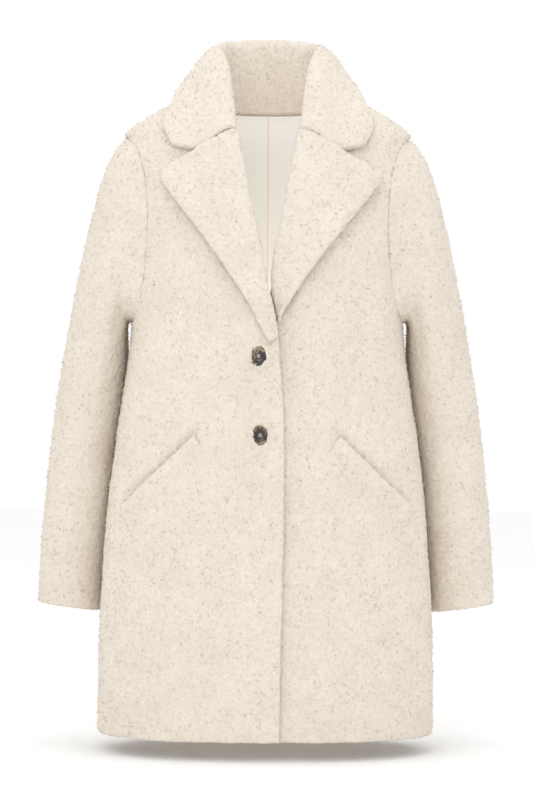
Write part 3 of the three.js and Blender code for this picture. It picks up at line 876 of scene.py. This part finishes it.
@dataclass
class Studio:
    """Pale floor, soft lights and the camera."""

    floor_height: float = -0.8
    camera_distance: float = 3.3
    camera_height: float = -0.366
    camera_side: float = -0.0005
    view_height: float = 1.0
    roll: float = -0.0055
    sensor: float = 36.0

    def lay_floor(self) -> None:
        """Lays a plain pale floor."""
        bpy.ops.object.select_all(action="DESELECT")
        bpy.ops.mesh.primitive_plane_add(size=14.0, location=(0.0, 0.0, 0.0))
        floor = bpy.context.object
        floor.name = "floor"
        floor.data.transform(floor.matrix_world)
        for vertex in floor.data.vertices:
            vertex.co.z = self.floor_height
        g = Graph("pale_floor")
        mottle = g.noise(3.0, 2.0)
        tone = g.ramp(mottle, (0.96, 0.96, 0.96), (0.97, 0.97, 0.97), 0.3, 0.7)
        g.join(tone, g.shader.inputs["Base Color"])
        g.shader.inputs["Roughness"].default_value = 0.9
        g.shader.inputs["Specular IOR Level"].default_value = 0.1
        floor.data.materials.append(g.material)

    def place_camera(self) -> None:
        """Places the camera level in front, at the photo's distance and frame."""
        data = bpy.data.cameras.new("camera")
        data.sensor_width = self.sensor
        data.lens = self.sensor * self.camera_distance / self.view_height
        camera = bpy.data.objects.new("camera", data)
        bpy.context.scene.collection.objects.link(camera)
        camera.location = (self.camera_side, -self.camera_distance, self.camera_height)
        camera.rotation_mode = "XYZ"
        camera.rotation_euler = (math.radians(90.0), self.roll, 0.0)
        bpy.context.scene.camera = camera

    def light(self) -> None:
        """Sets a bright even sky and three large soft lamps."""
        scene = bpy.context.scene
        world = bpy.data.worlds.new("studio")
        world.use_nodes = True
        world.node_tree.nodes["Background"].inputs[0].default_value = (1.0, 1.0, 1.0, 1.0)
        world.node_tree.nodes["Background"].inputs[1].default_value = 1.0
        scene.world = world
        scene.view_settings.view_transform = "Standard"
        for name, place, size, power in (
            ("key", (-0.5, -2.8, 1.2), 1.4, 14.0),
            ("top", (0.0, -0.3, 2.4), 2.0, 14.0),
            ("inside", (0.0, -0.07, -0.42), 0.12, 0.52),
        ):
            lamp = bpy.data.lights.new(name, "AREA")
            lamp.size = size
            lamp.energy = power
            holder = bpy.data.objects.new(name, lamp)
            scene.collection.objects.link(holder)
            holder.location = place
            aim = Vector((0.0, 0.09, -0.1) if name == "inside" else (0.0, 0.0, -0.35)) - Vector(place)
            holder.rotation_euler = aim.to_track_quat("-Z", "Y").to_euler()


BODY_CORE = Core(((0.0, -0.015, -0.78), (0.0, -0.005, -0.14)))
SLEEVE_CORE = ((0.15, -0.005, -0.15), (0.208, 0.015, -0.29), (0.224, 0.037, -0.42), (0.245, 0.036, -0.64))
LEFT_SLEEVE_CORE = Core(SLEEVE_CORE)
RIGHT_SLEEVE_CORE = Core(tuple((-x, y, z) for x, y, z in SLEEVE_CORE))

SLEEVE_FOLDS = (
    Fold((0.176, -0.07, -0.10), (0.183, -0.05, -0.36), 0.011, 0.006),
    Fold((0.162, -0.07, -0.10), (0.168, -0.06, -0.25), 0.009, -0.002),
    Fold((0.196, -0.06, -0.16), (0.204, -0.04, -0.44), 0.016, -0.003),
    Fold((0.185, 0.085, -0.12), (0.196, 0.095, -0.36), 0.014, 0.006),
    Fold((0.20, -0.02, -0.37), (0.25, -0.03, -0.34), 0.012, 0.002),
    Fold((0.20, 0.10, -0.40), (0.25, 0.10, -0.37), 0.014, 0.003),
)


def folded(
    node: str, flat: tuple[float, float], area: float, under: str, nudges: tuple[Nudge, ...] = ()
) -> FurCloth:
    """A plump folded piece with pile on both sides.

    Args:
        node: the solid's name.
        flat: its cut's length and width.
        area: its cut's area.
        under: the piece that it lies on.
        nudges: how its edges lie.

    Returns:
        The piece.
    """
    return FurCloth(
        node,
        flat,
        area,
        BODY_CORE,
        pile=Pile.ALL_ROUND,
        nudges=nudges,
        stand=0.0008,
        rim_crease=0.6,
        rests_on=(under,),
    )


def welt(node: str, under: str, foot: Nudge) -> FurCloth:
    """A narrow pocket welt, open along its mouth and sunk in the pile along its foot.

    Args:
        node: the solid's name.
        under: the front that it is sewn on.
        foot: how its foot sinks.

    Returns:
        The piece.
    """
    return FurCloth(
        node, (0.15, 0.035), 0.0048, BODY_CORE, nudges=(foot,), rim_crease=0.5, rests_on=(under,)
    )


def garment() -> list[FurCloth]:
    """The pieces of pile fabric, in the order that they are sewn.

    Returns:
        The pieces.
    """
    front_folds = (
        Fold((0.06, -0.14, -0.50), (0.08, -0.14, -0.80), 0.03, 0.002),
        Fold((0.13, -0.11, -0.20), (0.11, -0.12, -0.42), 0.02, 0.0025),
        Fold((0.15, -0.09, -0.48), (0.15, -0.09, -0.80), 0.03, -0.002),
    )
    back_folds = (
        Fold((0.09, 0.10, -0.30), (0.13, 0.11, -0.80), 0.03, 0.005),
        Fold((-0.09, 0.10, -0.30), (-0.13, 0.11, -0.80), 0.03, 0.005),
        Fold((0.0, 0.11, -0.36), (0.0, 0.12, -0.80), 0.035, -0.004),
        Fold((0.12, 0.09, -0.12), (0.10, 0.10, -0.33), 0.02, 0.004),
        Fold((-0.12, 0.09, -0.12), (-0.10, 0.10, -0.33), 0.02, 0.004),
    )
    mouth = Nudge((0.084, -0.405), (0.172, -0.491), 0.0045, (-0.001, 0.005, 0.0))
    foot = Nudge((0.072, -0.4325), (0.165, -0.528), 0.013, (-0.001, 0.0055, 0.0))
    gorge = Nudge((0.042, -0.041), (0.082, -0.061), 0.007, (0.0, 0.001, 0.005))
    gorge_end = Nudge((0.042, -0.041), (0.082, -0.061), 0.01, (0.0, 0.004, -0.002))
    notch = Nudge((0.105, -0.07), (0.13, -0.085), 0.008, (0.0, 0.0, -0.003))
    lapel_edge = Nudge((0.13, -0.1), (0.03, -0.24), 0.016, (0.0, -0.004, 0.0))
    return [
        FurCloth(
            "back",
            (0.62, 0.80),
            0.37,
            BODY_CORE,
            folds=back_folds,
            grain=0.0042,
            rests_on=("sleeve_left_fur",),
        ),
        FurCloth(
            "front_left",
            (0.36, 0.80),
            0.195,
            BODY_CORE,
            folds=front_folds,
            nudges=(mouth,),
            rests_on=("back_fur",),
        ),
        FurCloth(
            "front_right",
            (0.36, 0.80),
            0.195,
            BODY_CORE,
            folds=tuple(fold.mirrored() for fold in front_folds),
            nudges=(mouth.mirrored(),),
            crowds=(Crowd((-0.0103, -0.3135)), Crowd((-0.0078, -0.4084))),
            rests_on=("back_fur",),
        ),
        FurCloth(
            "sleeve_left",
            (0.40, 0.60),
            0.19,
            LEFT_SLEEVE_CORE,
            folds=SLEEVE_FOLDS,
            rests_on=("front_left_fur",),
        ),
        FurCloth(
            "sleeve_right",
            (0.40, 0.60),
            0.19,
            RIGHT_SLEEVE_CORE,
            folds=tuple(fold.mirrored() for fold in SLEEVE_FOLDS),
            rests_on=("front_right_fur",),
        ),
        folded("collar", (0.52, 0.20), 0.09, "back_fur", (gorge_end, gorge_end.mirrored())),
        folded(
            "lapel_right",
            (0.14, 0.25),
            0.019,
            "front_right_fur",
            tuple(nudge.mirrored() for nudge in (gorge, notch, lapel_edge)),
        ),
        folded("lapel_left", (0.14, 0.25), 0.019, "front_left_fur", (gorge, notch, lapel_edge)),
        welt("pocket_welt_right", "front_right_fur", foot.mirrored()),
        welt("pocket_welt_left", "front_left_fur", foot),
    ]


def main(nodes: Nodes) -> None:
    """Builds the coat, its buttons and the studio, in that order.

    Args:
        nodes: the frame's solids by name.
    """
    logging.basicConfig(level=logging.INFO, format="%(message)s", force=True)
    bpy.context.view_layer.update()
    studio = Studio()
    studio.place_camera()
    studio.light()
    fur = FurFinish().build()
    fuzz = Fuzz()
    for cloth in garment():
        cloth.dress(nodes, fur, fuzz)
    fuzz.clear()
    Lining(
        folds=(
            Fold((0.014, 0.07, 0.02), (0.014, 0.10, -0.55), 0.007, 0.003),
            Fold((-0.014, 0.07, 0.02), (-0.014, 0.10, -0.55), 0.007, 0.003),
            Fold((0.0, 0.07, 0.02), (0.0, 0.10, -0.55), 0.003, -0.002),
        )
    ).dress(nodes, LiningFinish().build())
    thread = ThreadFinish().build()
    Button("button_upper", HornFinish("horn_upper", (-0.0045, -0.3175), 0.0135)).dress(nodes, thread)
    Button("button_lower", HornFinish("horn_lower", (-0.0088, -0.4084), 0.0115)).dress(nodes, thread)
    studio.lay_floor()


if __name__ == "__main__":
    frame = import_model()
    main(frame["nodes"])
